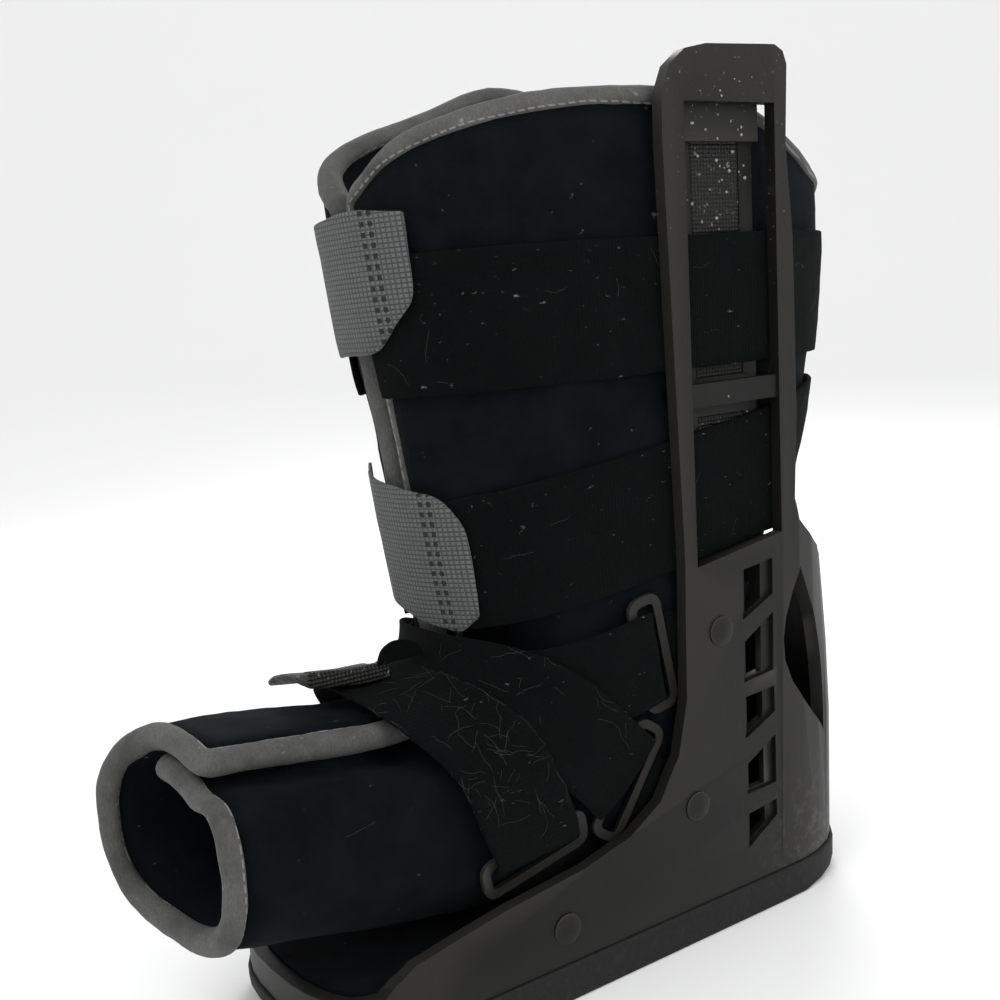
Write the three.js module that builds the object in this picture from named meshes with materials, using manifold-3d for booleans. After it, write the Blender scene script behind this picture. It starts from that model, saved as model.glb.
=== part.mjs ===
// Medical walking boot: a plastic rocker shell with two uprights, a padded liner and its straps.
// Millimetres, +Z up. The toe points to -Y, the side with the strap ends to +X.
// The origin lies on the sole's flat resting face, under the middle of the shaft.
import * as THREE from "three";
import { mergeVertices } from "three/addons/utils/BufferGeometryUtils.js";
import Module from "manifold-3d";

const wasm = await Module();
wasm.setup();

const { sin, cos, abs, sign, min, max, PI, hypot } = Math;
const HALF = 0.5;
const FULL = 360;
const DEGREE = PI / 180;
const CLEAR = 0.4;

// Colours of the pieces.
const COLOURS = {
  plastic: 0x35332f,
  rubber: 0x1b1b1c,
  fabric: 0x12151d,
  binding: 0x77736d,
  loop: 0x0d1011,
  hook: 0x73787a,
  ribbed: 0x2b2927,
  navy: 0x1a2030,
};

// The liner's outer face, as flat sections. Each row holds the section's front or top point,
// its back or bottom point, its half width and how square it is.
const SECTION_COLUMNS = ["frontY", "frontZ", "backY", "backZ", "half", "square"];
const SECTIONS = [
  [-108, 356, 111, 356, 57.3, 2.4],
  [-106, 300, 111, 300, 54.8, 2.4],
  [-102, 250, 108, 250, 52.4, 2.4],
  [-95, 205, 99, 205, 50, 2.4],
  [-92, 172, 86, 168, 48.2, 2.4],
  [-89, 148, 68, 141, 46.4, 2.4],
  [-86, 133, 56, 116, 44.8, 2.4],
  [-87, 124, 51, 84, 43.2, 2.4],
  [-91, 118, 43, 50, 42, 2.5],
  [-95, 115, 18, 31, 41.5, 2.6],
  [-100, 113, -22, 28, 41.5, 2.7],
  [-108, 112, -64, 28, 42.5, 2.7],
  [-120, 111.5, -104, 31, 44, 2.6],
  [-143, 114, -140, 37, 45, 2.5],
  [-172, 118, -169, 42.5, 45, 2.4],
  [-212, 120, -210, 48, 44.5, 2.4],
];
const LAST_SECTION = SECTIONS.length - 1;

// The liner's top rim: its height at each turn round the shaft, from the near flap's edge.
const RIM = [
  [0, 289], [6, 293], [12, 299], [20, 304], [30, 308.5], [45, 313], [60, 317.5], [84, 320], [104, 317],
  [120, 306], [130, 299.5], [142, 294], [158, 289], [180, 286], [205, 290], [230, 302], [248, 318],
  [260, 335], [270, 342], [279, 334], [288, 327], [300, 321.5], [320, 313], [340, 302], [356, 290],
];
// The toe opening's rim: how far along the last sections it lies, at each turn.
const TOE_RIM = [
  [-20, 14.25], [0, 14.25], [40, 14.28], [90, 14.3], [140, 14.38], [180, 14.48], [220, 14.62],
  [270, 14.64], [310, 14.5], [340, 14.3], [380, 14.25],
];
// The liner's two front edges: the turn at which each flap ends, at each section.
const NEAR_EDGE = [[0, 7], [5.6, 7], [7, -2], [9, -8], [15, -14]];
const FAR_EDGE = [[0, 353], [5.6, 353], [7, 364], [9, 374], [15, 382]];
const LINER = {
  wall: 8, around: 30, along: 23, tuck: 11.4, tuckFrom: 38, tuckTo: 62, standOff: 7, standFrom: 318,
  standTo: 346, standLow: 288, standHigh: 305, tuckStart: 3.6, tuckEnd: 5.5, edgeDrop: 8,
};
const BINDING = { tall: 7, proud: 1, gap: 1.2, cornerSteps: 3 };
// The binding's outline across its run: how far out from the cloth's edge, and how far to a side.
const BINDING_OUTLINE = [
  [0, -0.9], [0, 0.9], [0.4, 1], [1, 0.4], [1, -0.4], [0.4, -1],
];

// The shell, in side view and in widths.
const SHELL = { wall: 5, floorLow: 14, floorTop: 22, outset: 8.2, step: 10 };
const SHELL_WIDTHS = [[0, 47.5], [30, 48.5], [70, 50.5], [120, 53], [172, 56.4], [250, 60.6], [352, 65.3]];
const HEEL_BACKS = [[0, 93], [30, 95], [80, 96], [120, 93], [160, 88], [352, 88]];
const PLAN = { toeY: -162, ballY: -105, ballHalf: 51.5, waistY: -45, straightEnd: 40, square: 2.4,
  toeSquare: 2.6, toeRound: -128, quarter: 8, footLimit: 60 };
const LOFT_HEIGHTS = [0, 14, 30, 50, 70, 100, 130, 160, 200, 250, 300, 352];
const SIDE_PROFILE = [
  [-190, 14], [-190, 25], [-150, 25], [-143, 27], [-139, 31], [-132, 35.5], [-118, 38.5], [-95, 42.5],
  [-60, 46.5], [-38, 52], [-23, 61], [-13, 76], [-8, 97], [-7, 150], [-8, 200], [-10, 260], [-11.5, 300],
  [-11, 316], [-7, 325], [0, 330.5], [10, 332.5], [28, 333], [44, 333.5], [48.5, 331.5], [50.5, 327],
  [50, 316], [49, 298], [52, 265], [52.5, 200], [51, 165], [54, 156], [62, 149], [76, 138], [100, 130],
  [100, 14],
];
// The upright's slots in side view: front and rear limits, bottom and top.
const UPRIGHT = {
  frontIn: -1, rearIn: 43, plateFront: 2, plateRear: 38.5, slotLowFront: 146.5, slotLowRear: 153,
  slotTop: 313, plateThick: 3, bridgeLow: 205.5, bridgeHigh: 214, recessGap: 0.6, frontEdge: -5,
  rearEdge: 47, bridgeOut: 6.5, footLow: 134, headLow: 300, headHigh: 310.5, hangLow: 309, hangIn: 1.8, hangOut: 3.8,
};
// Windows of the rear panel: low and high edge at the front side, low and high edge at the rear side.
const WINDOW = { frontY: 24, rearY: 32.5, panelFront: 21.5, panelRear: 37.5, panelDeep: 1.8, margin: 1 };
const WINDOWS = [
  [124, 141, 128, 142], [98, 113, 99, 118], [76, 90, 80, 90.5], [52, 63.5, 52.5, 68], [31, 42, 36, 43],
];
// The opening in each rear quarter of the heel: the way it faces, its two tips and its two bulges.
const LEAF = {
  lean: 30, axisY: 34, lowTip: [10, 64], highTip: [-9, 137], front: -17.5, rear: 6, steps: 8, deep: 90,
};

const SOLE = { top: 13.6, flange: 1.2, flatFrom: -100, flatTo: 52, toeRise: 9, heelRise: 5, steps: 6,
  toeEnd: -165, heelEnd: 98, grooveHalf: 36, flat: 0, grooveDeep: 3, grooveWide: 5, groovePitch: 20,
  grooves: 8, grooveFrom: -96 };
const PAD = { gap: 0.6, thick: 5 };

// Straps. Widths and layers are the webbing's own.
const STRAP = { thick: 2, under: 0.6, across: 3, samples: 46, plateFront: -8, plateRear: 48.5, fall: 0.3,
  lift: 1.3, liftFull: 9, liftNone: 17 };
const CALF_STRAPS = {
  upper: { from: 6, to: 338, low: 220, high: 268, slant: 0 },
  lower: { from: 14, to: 340, low: 147.5, high: 195.5, slant: 0.15 },
};
// Hook tabs: turns at both ends, low and high edge at each end, and the clipped corners.
const TAB = { thick: 1.5, under: 3.2, samples: 14, across: 2 };
const TABS = {
  upper: { from: -26, to: 27, low: [235, 237], high: [281, 286], clipLong: 0.3, clipLow: 17, clipHigh: 4 },
  lower: { from: -24, to: 31, low: [148, 132], high: [195, 182], clipLong: 0.16, clipLow: 9, clipHigh: 10 },
};
const HOOK = { thick: 1, gap: 0.35, proud: -0.05, front: 8.5, rear: 31.5 };
const HOOK_STRIPS = { upper: [216, 309], lower: [155, 201] };

const RING = {
  long: 47, short: 15, bar: 3.6, thick: 1.8, round: 5, corner: 2, under: 0.7, steps: 3, belowCalf: 8,
  nest: 1, row: 3,
};
// Rings in side view: the middle, and how far the long side leans up from level towards the heel.
// The highest clears the lower calf strap, and each of the others the one before it.
const HIGH_RING = { y: -18, z: CALF_STRAPS.lower.low - RING.belowCalf - RING.long / 2, turn: 102 };
const MIDDLE_RING = { y: -32, z: HIGH_RING.z - RING.long + RING.nest, turn: 55 };
const FRONT_RING = { y: MIDDLE_RING.y - RING.long + RING.row, z: 55, turn: 12 };
const RINGS = { a: HIGH_RING, b: MIDDLE_RING, c: FRONT_RING };

const ANKLE = {
  half: 18, thick: 1.4, samples: 24, layer: 2.5, first: 3.2, under: 2, across: 3, held: 0.05, rise: 0.1,
};
// Each ankle strap: its layer, the side points it passes as [y, z], and the section it crosses over.
const ANKLE_STRAPS = {
  a: { layer: 0, path: [[HIGH_RING.y + 1, HIGH_RING.z], [-50, 109], [-76, 110]], over: 8.4, slope: 0 },
  b: { layer: 1, path: [[MIDDLE_RING.y, MIDDLE_RING.z], [-52, 91], [-74, 111]], over: 7.9, slope: 0 },
  c: { layer: 2, path: [[FRONT_RING.y - 1, FRONT_RING.z], [-84, 78], [-93, 100]], over: 11, slope: -0.6 },
};
// The loose end of the instep hook tab: the section it crosses at and its turns.
const INSTEP_TAB = {
  over: 12.1, from: -30, to: 4, rise: 9, riseLow: 8.6, slope: -0.8, thick: 1.4, foldThick: 5, foldFrom: 0.8,
  samples: 10, half: 17.5,
};
// The rounded strap end that stands up off the instep, in side view.
const INSTEP_END = { x: 6, thick: 1.6, y: -103, half: 9.5, base: 125.5, tall: 7.5, steps: 12 };

const RIVET = { radius: 5.8, gap: 0.3, steps: 14 };
const RIVET_OUTLINE = [[0, 0], [1, 0], [1, 0.5], [0.8, 0.95], [0.4, 1.3], [0, 1.4]];
const RIVETS = { a: [10, 120], b: [-5, 54], c: [-70, 27] };
const RING_TAB = { half: 14, thick: 1.2, under: 0.8, gap: 0.6, reach: 3, lowest: 38 };

function materialOf(name) {
  return new THREE.MeshStandardMaterial({ color: COLOURS[name], roughness: 0.8 });
}

// A smooth value through a table of [position, value] rows.
function along(table, position) {
  const last = table.length - 1;
  if (position <= table[0][0]) return table[0][1];
  if (position >= table[last][0]) return table[last][1];
  let i = 0;
  while (table[i + 1][0] < position) i += 1;
  const [p0, v0] = table[max(i - 1, 0)];
  const [p1, v1] = table[i];
  const [p2, v2] = table[i + 1];
  const [p3, v3] = table[min(i + 2, last)];
  const width = p2 - p1;
  const slopeA = p2 === p0 ? 0 : (v2 - v0) / (p2 - p0);
  const slopeB = p3 === p1 ? 0 : (v3 - v1) / (p3 - p1);
  const f = (position - p1) / width;
  const g = f * f * (3 - 2 * f);
  return v1 + (v2 - v1) * g + width * (f * (1 - f)) * (slopeA * (1 - f) - slopeB * f);
}

const STRAIGHT = {};
SECTION_COLUMNS.forEach((name, column) => {
  STRAIGHT[name] = SECTIONS.map((row, index) => [index, row[column]]);
});
const sectionValue = (name, s) => along(STRAIGHT[name], s);

// A smooth step from 0 to 1.
function ease(value, from, to) {
  const f = min(max((value - from) / (to - from), 0), 1);
  return f * f * (3 - 2 * f);
}

// A point of the liner's outer face: section s, turn t in degrees from the front or top.
function facePoint(s, t) {
  const fy = sectionValue("frontY", s);
  const fz = sectionValue("frontZ", s);
  const by = sectionValue("backY", s);
  const bz = sectionValue("backZ", s);
  const power = 2 / sectionValue("square", s);
  const across = sin(t * DEGREE);
  const down = -cos(t * DEGREE);
  const x = sectionValue("half", s) * sign(across) * abs(across) ** power;
  const w = HALF + HALF * sign(down) * abs(down) ** power;
  return new THREE.Vector3(x, fy + (by - fy) * w, fz + (bz - fz) * w);
}

const STEP_S = 0.02;
const STEP_T = 0.6;
const FINE = 0.001;
const LAST_SHAFT_SECTION = 7;

// The face's point and its two directions and outward direction there.
function faceFrame(s, t) {
  const point = facePoint(s, t);
  const alongS = facePoint(s + STEP_S, t).sub(facePoint(s - STEP_S, t)).divideScalar(2 * STEP_S);
  const alongT = facePoint(s, t + STEP_T).sub(facePoint(s, t - STEP_T)).divideScalar(2 * STEP_T);
  const normal = alongS.clone().cross(alongT).normalize();
  return { point, alongS, alongT, normal };
}

// The face's point moved outwards by a distance.
function raised(s, t, distance) {
  const { point, normal } = faceFrame(s, t);
  return point.addScaledVector(normal, distance);
}

// The section number of the shaft at which its face reaches a height, at a turn.
function sectionAt(z, t) {
  let low = 0;
  let high = LAST_SHAFT_SECTION;
  while (high - low > FINE) {
    const middle = (low + high) * HALF;
    if (facePoint(middle, t).z > z) low = middle;
    else high = middle;
  }
  return low;
}

// A closed solid from a grid of outer points and the inner points behind them.
function sheetGeometry(outer, inner) {
  const rows = outer.length;
  const columns = outer[0].length;
  const points = [];
  const index = [];
  for (const grid of [outer, inner]) for (const row of grid) for (const p of row) points.push(p.x, p.y, p.z);
  const layer = rows * columns;
  const at = (side, r, c) => side * layer + r * columns + c;
  for (let r = 0; r < rows - 1; r += 1) {
    for (let c = 0; c < columns - 1; c += 1) {
      index.push(at(0, r, c), at(0, r + 1, c), at(0, r + 1, c + 1));
      index.push(at(0, r, c), at(0, r + 1, c + 1), at(0, r, c + 1));
      index.push(at(1, r, c), at(1, r + 1, c + 1), at(1, r + 1, c));
      index.push(at(1, r, c), at(1, r, c + 1), at(1, r + 1, c + 1));
    }
  }
  const edge = [];
  for (let c = 0; c < columns; c += 1) edge.push([0, c]);
  for (let r = 1; r < rows; r += 1) edge.push([r, columns - 1]);
  for (let c = columns - 2; c >= 0; c -= 1) edge.push([rows - 1, c]);
  for (let r = rows - 2; r > 0; r -= 1) edge.push([r, 0]);
  edge.forEach(([r, c], k) => {
    const [r2, c2] = edge[(k + 1) % edge.length];
    index.push(at(0, r, c), at(0, r2, c2), at(1, r2, c2));
    index.push(at(0, r, c), at(1, r2, c2), at(1, r, c));
  });
  return facingOut(points, index);
}

// A closed tube of rings of points. The run closes on itself or ends in flat caps.
function tubeGeometry(rings, closed) {
  const count = rings[0].length;
  const points = rings.flat().flatMap((p) => [p.x, p.y, p.z]);
  const index = [];
  const spans = closed ? rings.length : rings.length - 1;
  for (let i = 0; i < spans; i += 1) {
    const a = i * count;
    const b = ((i + 1) % rings.length) * count;
    for (let k = 0; k < count; k += 1) {
      const n = (k + 1) % count;
      index.push(a + k, b + k, b + n, a + k, b + n, a + n);
    }
  }
  if (!closed) {
    const last = (rings.length - 1) * count;
    for (let k = 1; k < count - 1; k += 1) {
      index.push(0, k, k + 1);
      index.push(last, last + k + 1, last + k);
    }
  }
  return facingOut(points, index);
}

// The mesh with its faces turned outwards.
function facingOut(points, index) {
  let volume = 0;
  const corner = (i) => new THREE.Vector3(points[3 * i], points[3 * i + 1], points[3 * i + 2]);
  for (let i = 0; i < index.length; i += 3) {
    volume += corner(index[i]).dot(corner(index[i + 1]).cross(corner(index[i + 2])));
  }
  if (volume < 0) {
    for (let i = 0; i < index.length; i += 3) [index[i + 1], index[i + 2]] = [index[i + 2], index[i + 1]];
  }
  const geometry = new THREE.BufferGeometry();
  geometry.setAttribute("position", new THREE.Float32BufferAttribute(points, 3));
  geometry.setIndex(index);
  return geometry;
}

function solidOf(geometry) {
  const bare = geometry.index ? geometry.toNonIndexed() : geometry.clone();
  bare.deleteAttribute("normal");
  bare.deleteAttribute("uv");
  const merged = mergeVertices(bare, 0.0001);
  return new wasm.Manifold(new wasm.Mesh({
    numProp: 3,
    vertProperties: new Float32Array(merged.attributes.position.array),
    triVerts: new Uint32Array(merged.index.array),
  }));
}

function geometryOf(solid) {
  const mesh = solid.getMesh();
  const geometry = new THREE.BufferGeometry();
  geometry.setAttribute("position", new THREE.BufferAttribute(mesh.vertProperties, 3));
  geometry.setIndex(new THREE.BufferAttribute(mesh.triVerts, 1));
  return geometry;
}

// A prism along X from an outline of [y, z] rows, between two x.
function sidePrism(outline, fromX, toX) {
  const rings = [fromX, toX].map((x) => outline.map(([y, z]) => new THREE.Vector3(x, y, z)));
  return prismBetween(rings);
}

// A prism between two equal outlines, closed with triangulated caps.
function prismBetween(pair) {
  const normal = pair[1][0].clone().sub(pair[0][0]).normalize();
  const level = abs(normal.z) > HALF ? new THREE.Vector3(1, 0, 0) : new THREE.Vector3(0, 0, 1);
  const u = level.cross(normal).normalize();
  const v = normal.clone().cross(u);
  const flatten = (ring) => ring.map((p) => new THREE.Vector2(p.dot(u), p.dot(v)));
  const turned = THREE.ShapeUtils.isClockWise(flatten(pair[0]));
  const [first, second] = turned ? pair.map((ring) => [...ring].reverse()) : pair;
  const faces = THREE.ShapeUtils.triangulateShape(flatten(first), []);
  const count = first.length;
  const points = [...first, ...second].flatMap((p) => [p.x, p.y, p.z]);
  const index = [];
  for (const [a, b, c] of faces) index.push(a, c, b, count + a, count + b, count + c);
  for (let k = 0; k < count; k += 1) {
    const n = (k + 1) % count;
    index.push(k, n, count + n, k, count + n, count + k);
  }
  return solidOf(facingOut(points, index));
}

// The half width of the liner's side at a height, and the slab between two distances from it.
const sideAt = (z) => along(SHELL_WIDTHS, z) - SHELL.outset;
function slab(inner, outer, side) {
  const outline = [
    ...LOFT_HEIGHTS.map((z) => [sideAt(z) + inner, z]),
    ...LOFT_HEIGHTS.map((z) => [sideAt(z) + outer, z]).reverse(),
  ];
  const far = 400;
  return prismBetween([-far, far].map((y) => outline.map(([x, z]) => new THREE.Vector3(side * x, y, z))));
}

// The shell's plan outline at a height, drawn in by an offset.
function planOutline(z, drawn) {
  const heel = along(SHELL_WIDTHS, z) - drawn;
  const back = along(HEEL_BACKS, z) - drawn;
  const foot = z < PLAN.footLimit ? PLAN.ballHalf - drawn : heel;
  const toeY = PLAN.toeY + drawn;
  const outline = [];
  for (let k = 0; k <= PLAN.quarter; k += 1) {
    const a = (k / PLAN.quarter) * PI * HALF;
    const power = 2 / PLAN.toeSquare;
    outline.push([foot * sin(a) ** power, PLAN.toeRound - (PLAN.toeRound - toeY) * abs(cos(a)) ** power]);
  }
  outline.push([foot, PLAN.ballY]);
  outline.push([(foot + heel) * HALF, PLAN.waistY]);
  for (let k = 0; k <= PLAN.quarter; k += 1) {
    const a = (k / PLAN.quarter) * PI * HALF;
    const power = 2 / PLAN.square;
    const x = k === PLAN.quarter ? 0 : heel * cos(a) ** power;
    outline.push([x, PLAN.straightEnd + (back - PLAN.straightEnd) * sin(a) ** power]);
  }
  const other = outline.slice(1, -1).map(([x, y]) => [-x, y]).reverse();
  return [...outline, ...other];
}

// A solid lofted through plan outlines at the given heights.
function planLoft(heights, drawn) {
  const rings = heights.map((z) => planOutline(z, drawn).map(([x, y]) => new THREE.Vector3(x, y, z)));
  return solidOf(tubeGeometry(rings, false));
}


const FACE_EDGE = 0.97;

// The side view's point put on the liner's face: its section and its turn on the near side.
function faceAt(y, z) {
  const step = 0.05;
  const offLine = (s) => {
    const fy = sectionValue("frontY", s);
    const fz = sectionValue("frontZ", s);
    const dy = sectionValue("backY", s) - fy;
    const dz = sectionValue("backZ", s) - fz;
    const long = hypot(dy, dz);
    return {
      off: ((y - fy) * dz - (z - fz) * dy) / long,
      w: ((y - fy) * dy + (z - fz) * dz) / long ** 2,
    };
  };
  let best = 0;
  let least = Infinity;
  for (let s = 0; s <= LAST_SECTION; s += step) {
    const { off, w } = offLine(s);
    if (w > 0 && w < 1 && abs(off) < least) {
      least = abs(off);
      best = s;
    }
  }
  let s = best;
  for (let k = 0; k < 8; k += 1) {
    const here = offLine(s).off;
    const slope = (offLine(s + STEP_S).off - here) / STEP_S;
    s -= here / slope;
  }
  const down = min(max(2 * offLine(s).w - 1, -FACE_EDGE), FACE_EDGE);
  const cosine = sign(down) * abs(down) ** (sectionValue("square", s) * HALF);
  return { s, t: Math.acos(-cosine) / DEGREE };
}

// How far the liner lies outside (or, tucked in, inside) its plain face.
function linerShift(s, t) {
  const tucked = -LINER.tuck * ease(s, LINER.tuckStart, LINER.tuckEnd)
    * (1 - ease(t, LINER.tuckFrom, LINER.tuckTo));
  const z = facePoint(s, t).z;
  const stood = s < LINER.tuckStart
    ? LINER.standOff * ease(t, LINER.standFrom, LINER.standTo) * ease(z, LINER.standLow, LINER.standHigh) : 0;
  return tucked + stood;
}

// A point of the liner's cloth: u runs round from the near flap's edge, v down from the rim to the toe.
function clothPlace(u, v) {
  const roughS = v * LAST_SECTION;
  const near = along(NEAR_EDGE, roughS);
  const far = along(FAR_EDGE, roughS);
  let t = near + (far - near) * u;
  const top = sectionAt(along(RIM, t) - LINER.edgeDrop, t);
  const end = along(TOE_RIM, t);
  return { s: top + (end - top) * v, t };
}

function clothPoint(u, v, deep) {
  const { s, t } = clothPlace(u, v);
  return raised(s, t, linerShift(s, t) - deep);
}

// The grid of the liner's cloth at a depth.
function clothGrid(deep) {
  const grid = [];
  for (let i = 0; i <= LINER.along; i += 1) {
    const row = [];
    for (let k = 0; k <= LINER.around; k += 1) row.push(clothPoint(k / LINER.around, i / LINER.along, deep));
    grid.push(row);
  }
  return grid;
}

// The binding that runs round the cloth's whole edge.
function bindingGeometry() {
  const small = 0.004;
  const half = LINER.wall * HALF;
  const inward = { top: [0, 1], far: [-1, 0], toe: [0, -1], near: [1, 0] };
  const stops = [];
  const stop = (u, v, edge) => stops.push({ u, v, edge });
  for (let k = 0; k <= LINER.around; k += 1) stop(k / LINER.around, 0, "top");
  for (let k = 0; k <= LINER.along; k += 1) stop(1, k / LINER.along, "far");
  for (let k = LINER.around; k >= 0; k -= 1) stop(k / LINER.around, 1, "toe");
  for (let k = LINER.along; k >= 0; k -= 1) stop(0, k / LINER.along, "near");
  const middle = (u, v) => clothPoint(u, v, half);
  const frames = stops.map(({ u, v, edge }) => {
    const at = middle(u, v);
    const [du, dv] = inward[edge];
    const out = at.clone().sub(middle(u + du * small, v + dv * small)).normalize();
    const { s, t } = clothPlace(u, v);
    const side = faceFrame(s, t).normal;
    out.addScaledVector(side, -out.dot(side)).normalize();
    return { at, out, side };
  });
  const rings = [];
  const ringOf = ({ at, out, side }) => BINDING_OUTLINE.map(([reach, across]) => at.clone()
    .addScaledVector(out, BINDING.gap + reach * BINDING.tall)
    .addScaledVector(side, across * (half + BINDING.proud)));
  frames.forEach((frame, k) => {
    rings.push(ringOf(frame));
    const next = frames[(k + 1) % frames.length];
    if (frame.at.distanceTo(next.at) > small) return;
    for (let c = 1; c < BINDING.cornerSteps; c += 1) {
      const f = c / BINDING.cornerSteps;
      const out = frame.out.clone().lerp(next.out, f).normalize();
      rings.push(ringOf({ at: frame.at, out, side: frame.side }));
    }
  });
  return tubeGeometry(rings, true);
}

// The side plate's clearance: a strap's point kept outside the upright's centre plate.
function overPlate(point, level) {
  const past = max(STRAP.plateFront - point.y, point.y - STRAP.plateRear, 0);
  const least = sideAt(point.z) + level - past * STRAP.fall;
  if (past > 12 || abs(point.x) >= least) return point;
  point.x = sign(point.x) * least;
  return point;
}

// What a band rises by to clear the binding of the near flap's edge.
function edgeLift(t) {
  const turn = t > HALF * FULL ? FULL - t : abs(t);
  return STRAP.lift * (1 - ease(turn, STRAP.liftFull, STRAP.liftNone));
}

// A band round the shaft between two turns. The edges give its low and high side at each part of its run.
function bandGeometry({ from, to, samples, across, under, thick, edges }) {
  const grids = [under + thick, under].map((level) => {
    const grid = [];
    for (let i = 0; i <= samples; i += 1) {
      const f = i / samples;
      const t = from + (to - from) * f;
      const row = [];
      for (let k = 0; k <= across; k += 1) {
        const guess = edges(f, 0);
        let z = guess[0] + ((guess[1] - guess[0]) * k) / across;
        for (let turn = 0; turn < 3; turn += 1) {
          const y = facePoint(sectionAt(z, t), t).y;
          const [low, high] = edges(f, y);
          z = low + ((high - low) * k) / across;
        }
        const lifted = level + edgeLift(t);
        row.push(overPlate(raised(sectionAt(z, t), t, lifted), lifted));
      }
      grid.push(row);
    }
    return grid;
  });
  return sheetGeometry(...grids);
}

function calfStrap({ from, to, low, high, slant }) {
  return bandGeometry({
    ...STRAP, from, to, edges: (f, y) => [low + slant * y, high + slant * y],
  });
}

function calfTab({ from, to, low, high, clipLong, clipLow, clipHigh }) {
  return bandGeometry({
    ...TAB, from, to,
    edges: (f) => {
      const clipped = max(0, (f - 1 + clipLong) / clipLong);
      return [low[0] + (low[1] - low[0]) * f + clipLow * clipped,
        high[0] + (high[1] - high[0]) * f - clipHigh * clipped];
    },
  });
}

// The section and turn reached by going a length over the face, in a direction in space.
function stepOver(s, t, direction, length) {
  const { alongS, alongT } = faceFrame(s, t);
  const ss = alongS.dot(alongS);
  const st = alongS.dot(alongT);
  const tt = alongT.dot(alongT);
  const ds = alongS.dot(direction) * length;
  const dt = alongT.dot(direction) * length;
  const whole = ss * tt - st * st;
  return [s + (tt * ds - st * dt) / whole, t + (ss * dt - st * ds) / whole];
}

// A strip laid over the face: its middle line as [section, turn] stops, its half width, height over
// the face and thickness as functions of the part of its run.
function stripOver({ stops, half, rise, thick, samples, across, slope = () => 0 }) {
  const column = (index) => stops.map((stop, k) => [k, stop[index]]);
  const [sections, turns] = [column(0), column(1)];
  const last = stops.length - 1;
  const place = (f) => [along(sections, f * last), along(turns, f * last)];
  const outer = [];
  const inner = [];
  const small = 0.01;
  for (let i = 0; i <= samples; i += 1) {
    const f = i / samples;
    const [s, t] = place(f);
    const before = facePoint(...place(max(f - small, 0)));
    const run = facePoint(...place(min(f + small, 1))).sub(before).normalize();
    const { normal } = faceFrame(s, t);
    const sideways = normal.clone().cross(run).normalize();
    const rowOut = [];
    const rowIn = [];
    for (let k = 0; k <= across; k += 1) {
      const off = 2 * (k / across) - 1;
      const offset = half(f) * off;
      const level = rise(f) + slope(f) * off;
      const steps = 4;
      let [ps, pt] = [s, t];
      for (let n = 0; n < steps; n += 1) [ps, pt] = stepOver(ps, pt, sideways, offset / steps);
      rowOut.push(raised(ps, pt, level + thick(f)));
      rowIn.push(raised(ps, pt, level));
    }
    outer.push(rowOut);
    inner.push(rowIn);
  }
  return sheetGeometry(outer, inner);
}

// A strap over the instep, from the near ring to the far ring.
function ankleStrap({ layer, path, over, slope }) {
  const near = path.map(([y, z]) => faceAt(y, z)).map(({ s, t }) => [s, t]);
  const far = near.map(([s, t]) => [s, -t]).reverse();
  return stripOver({
    ...ANKLE, stops: [...near, [over, 0], ...far],
    half: () => ANKLE.half, thick: () => ANKLE.thick,
    slope: (f) => slope * ease(min(f, 1 - f), 0, ANKLE.held),
    rise: (f) => ANKLE.first + (ANKLE.under + layer * ANKLE.layer - abs(slope) - ANKLE.first)
      * (layer ? ease(min(f, 1 - f), 0, ANKLE.held) : ease(min(f, 1 - f), ANKLE.held, ANKLE.rise)),
  });
}

// The instep hook tab, with its end folded thick.
function instepTab({ over, from, to, rise, riseLow, slope, thick, foldThick, foldFrom, samples, half }) {
  return stripOver({
    stops: [[over, from], [over, (from + to) * HALF], [over, to]], samples, across: 2,
    half: () => half, rise: (f) => riseLow + (rise - riseLow) * f, slope: () => slope,
    thick: (f) => (f > foldFrom ? foldThick : thick),
  });
}

// The rounded strap end that stands up off the instep.
function instepEnd({ x, thick, y, half, base, tall, steps }) {
  const outline = [];
  for (let k = 0; k <= steps; k += 1) {
    const angle = (k / steps) * PI;
    outline.push([y - half * cos(angle), base + tall * sin(angle)]);
  }
  return geometryOf(sidePrism(outline, x, x + thick));
}

// A rounded outline of a frame or a plate, in its own plane.
function roundedOutline(long, short, radius, steps) {
  const outline = [];
  const corners = [[1, 1, 0], [-1, 1, 1], [-1, -1, 2], [1, -1, 3]];
  for (const [a, b, quarter] of corners) {
    for (let k = 0; k <= steps; k += 1) {
      const angle = (quarter + k / steps) * PI * HALF;
      outline.push([
        a * (long * HALF - radius) + radius * cos(angle), b * (short * HALF - radius) + radius * sin(angle),
      ]);
    }
  }
  return outline;
}

// The place of a ring on the side: its middle, its long and short way and its outward way.
function ringFrame({ y, z, turn }) {
  const { s, t } = faceAt(y, z);
  const { point, normal } = faceFrame(s, t);
  const long = new THREE.Vector3(0, cos(turn * DEGREE), sin(turn * DEGREE));
  long.addScaledVector(normal, -long.dot(normal)).normalize();
  return { point, normal, long, short: normal.clone().cross(long) };
}

const mirrored = (points, side) => points.map((p) => new THREE.Vector3(side * p.x, p.y, p.z));

function ringGeometry(ring, side) {
  const { point, normal, long, short } = ringFrame(ring);
  const prism = (drawn, low, high, radius) => {
    const outline = roundedOutline(RING.long - drawn, RING.short - drawn, radius, RING.steps);
    const rings = [low, high].map((level) => mirrored(outline.map(([a, b]) => point.clone()
      .addScaledVector(long, a).addScaledVector(short, b).addScaledVector(normal, level)), side));
    return prismBetween(rings);
  };
  const whole = prism(0, RING.under, RING.under + RING.thick, RING.round);
  return geometryOf(whole.subtract(prism(2 * RING.bar, -RING.under, 4 * RING.thick, RING.corner)));
}

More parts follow.
